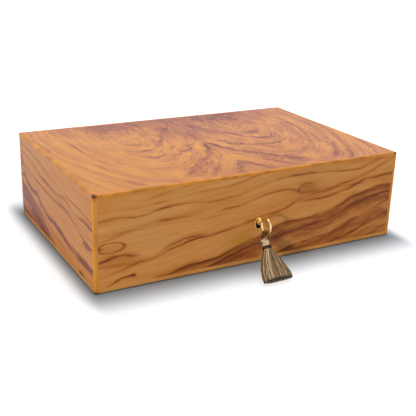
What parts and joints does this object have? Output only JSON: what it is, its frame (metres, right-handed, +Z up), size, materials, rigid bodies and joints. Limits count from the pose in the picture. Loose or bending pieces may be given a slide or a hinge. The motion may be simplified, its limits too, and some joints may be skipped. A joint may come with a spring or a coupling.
{
  "type": "humidor",
  "caption": "Low veneered box with a hinged lid, cedar lining, lifting tray, box lock, tasselled key, hygrometer and humidifier.",
  "frame": {"origin": "centre of the underside of the base", "axes": "+X to the right along the front, +Y to the back where the hinges are, +Z up"},
  "size_m": [0.36, 0.2976, 0.1],
  "materials": {
    "olive_veneer": "olive wood veneer under clear gloss lacquer",
    "olive_veneer_top": "book-matched olive wood veneer under clear gloss lacquer",
    "olive_edging": "solid wood edging under clear gloss lacquer",
    "base_board": "plain board, unfinished",
    "felt": "black felt",
    "cedar": "unfinished cedar, straight grain",
    "tray_cedar": "unfinished cedar, straight grain",
    "hinge_brass": "polished brass",
    "screw_brass": "turned brass",
    "lock_brass": "polished brass",
    "lock_steel": "bright steel",
    "key_brass": "polished brass",
    "hygrometer_brass": "polished brass",
    "dial_card": "printed card with plain numbers",
    "dial_glass": "clear glass",
    "needle": "black painted steel",
    "humidifier_plastic": "black moulded plastic",
    "humidifier_foam": "green phenolic foam",
    "magnet": "nickel plated",
    "plate_steel": "zinc plated steel",
    "tassel_cord": "twisted cord, dark brown and gold",
    "tassel_bead": "bead wrapped in cream silk",
    "tassel_yarn": "taupe silk yarn"
  },
  "bodies": {
    "case": {"case_front": "olive_veneer", "case_back": "olive_veneer", "case_left": "olive_veneer", "case_right": "olive_veneer", "case_base": "base_board", "case_corner_edging": "olive_edging", "case_foot_edging": "olive_edging", "base_felt": "felt", "cedar_front": "cedar", "cedar_back": "cedar", "cedar_left": "cedar", "cedar_right": "cedar", "cedar_floor": "cedar", "tray_ledges": "cedar", "left_hinge_case_leaf": "hinge_brass", "right_hinge_case_leaf": "hinge_brass", "hinge_pins": "hinge_brass", "hinge_case_screws": "screw_brass", "lock_body": "lock_steel", "lock_cap": "lock_steel", "lock_plate": "lock_brass", "lock_plate_screws": "screw_brass", "escutcheon": "lock_brass"},
    "lid": {"lid_top": "olive_veneer_top", "lid_front": "olive_veneer", "lid_back": "olive_veneer", "lid_left": "olive_veneer", "lid_right": "olive_veneer", "lid_corner_edging": "olive_edging", "lid_top_edging": "olive_edging", "cedar_lid_panel": "cedar", "cedar_lid_strips": "cedar", "left_hinge_lid_leaf": "hinge_brass", "right_hinge_lid_leaf": "hinge_brass", "hinge_lid_screws": "screw_brass", "link_plate": "lock_brass", "link_plate_screws": "screw_brass", "hygrometer_case": "hygrometer_brass", "hygrometer_bezel": "hygrometer_brass", "hygrometer_glass": "dial_glass", "hygrometer_dial": "dial_card", "humidifier_plate": "plate_steel"},
    "needle": {"hygrometer_needle": "needle"},
    "humidifier": {"humidifier_tub": "humidifier_plastic", "humidifier_grille": "humidifier_plastic", "humidifier_foam": "humidifier_foam", "humidifier_magnets": "magnet"},
    "tray": {"tray_frame": "tray_cedar", "tray_slats": "tray_cedar"},
    "upper_divider": {"tray_divider": "tray_cedar"},
    "floor_divider": {"lower_divider": "tray_cedar"},
    "bolt": {"lock_bolt": "lock_steel"},
    "barrel": {"lock_barrel": "lock_brass"},
    "key_body": {"key": "key_brass"},
    "cord_loop": {"tassel_cord": "tassel_cord"},
    "tassel": {"tassel_head": "tassel_bead", "tassel_binding": "tassel_cord", "tassel_skirt": "tassel_yarn", "tassel_tail": "tassel_cord"}
  },
  "joints": [
    {"name": "lid_hinge", "type": "hinge", "parent": "case", "child": "lid", "pos_m": [0, 0.122, 0.0601], "axis": [-1, 0, 0], "range_deg": [0, 95]},
    {"name": "key_turn", "type": "hinge", "parent": "case", "child": "barrel", "pos_m": [0, -0.113, 0.046], "axis": [0, 1, 0], "range_deg": [0, 90]},
    {"name": "bolt_throw", "type": "slide", "parent": "case", "child": "bolt", "axis": [-1, 0, 0], "range_m": [0, 0.004]},
    {"name": "key_withdraw", "type": "slide", "parent": "barrel", "child": "key_body", "axis": [0, -1, 0], "range_m": [0, 0.03]},
    {"name": "cord_turn", "type": "hinge", "parent": "key_body", "child": "cord_loop", "pos_m": [0, -0.1345, 0.0378], "axis": [0, 1, 0], "range_deg": [-90, 0]},
    {"name": "tassel_swing", "type": "hinge", "parent": "cord_loop", "child": "tassel", "pos_m": [0, -0.1345, 0.02852], "axis": [-1, 0, 0], "range_deg": [0, 45]},
    {"name": "tray_slide", "type": "slide", "parent": "case", "child": "tray", "axis": [1, 0, 0], "range_m": [0, 0.113]},
    {"name": "tray_divider_slide", "type": "slide", "parent": "tray", "child": "upper_divider", "axis": [1, 0, 0], "range_m": [-0.08, 0.08]},
    {"name": "lower_divider_slide", "type": "slide", "parent": "case", "child": "floor_divider", "axis": [1, 0, 0], "range_m": [-0.1, 0.1]},
    {"name": "needle_turn", "type": "hinge", "parent": "lid", "child": "needle", "pos_m": [-0.085, 0, 0.0847], "axis": [0, 0, 1], "range_deg": [-135, 135]},
    {"name": "humidifier_release", "type": "slide", "parent": "lid", "child": "humidifier", "axis": [0, 0, -1], "range_m": [0, 0.008]}
  ],
  "couplings": [
    {"joint": "key_turn", "follows": "bolt_throw", "rad_per_m": 392.69},
    {"joint": "cord_turn", "follows": "bolt_throw", "rad_per_m": -392.69}
  ]
}
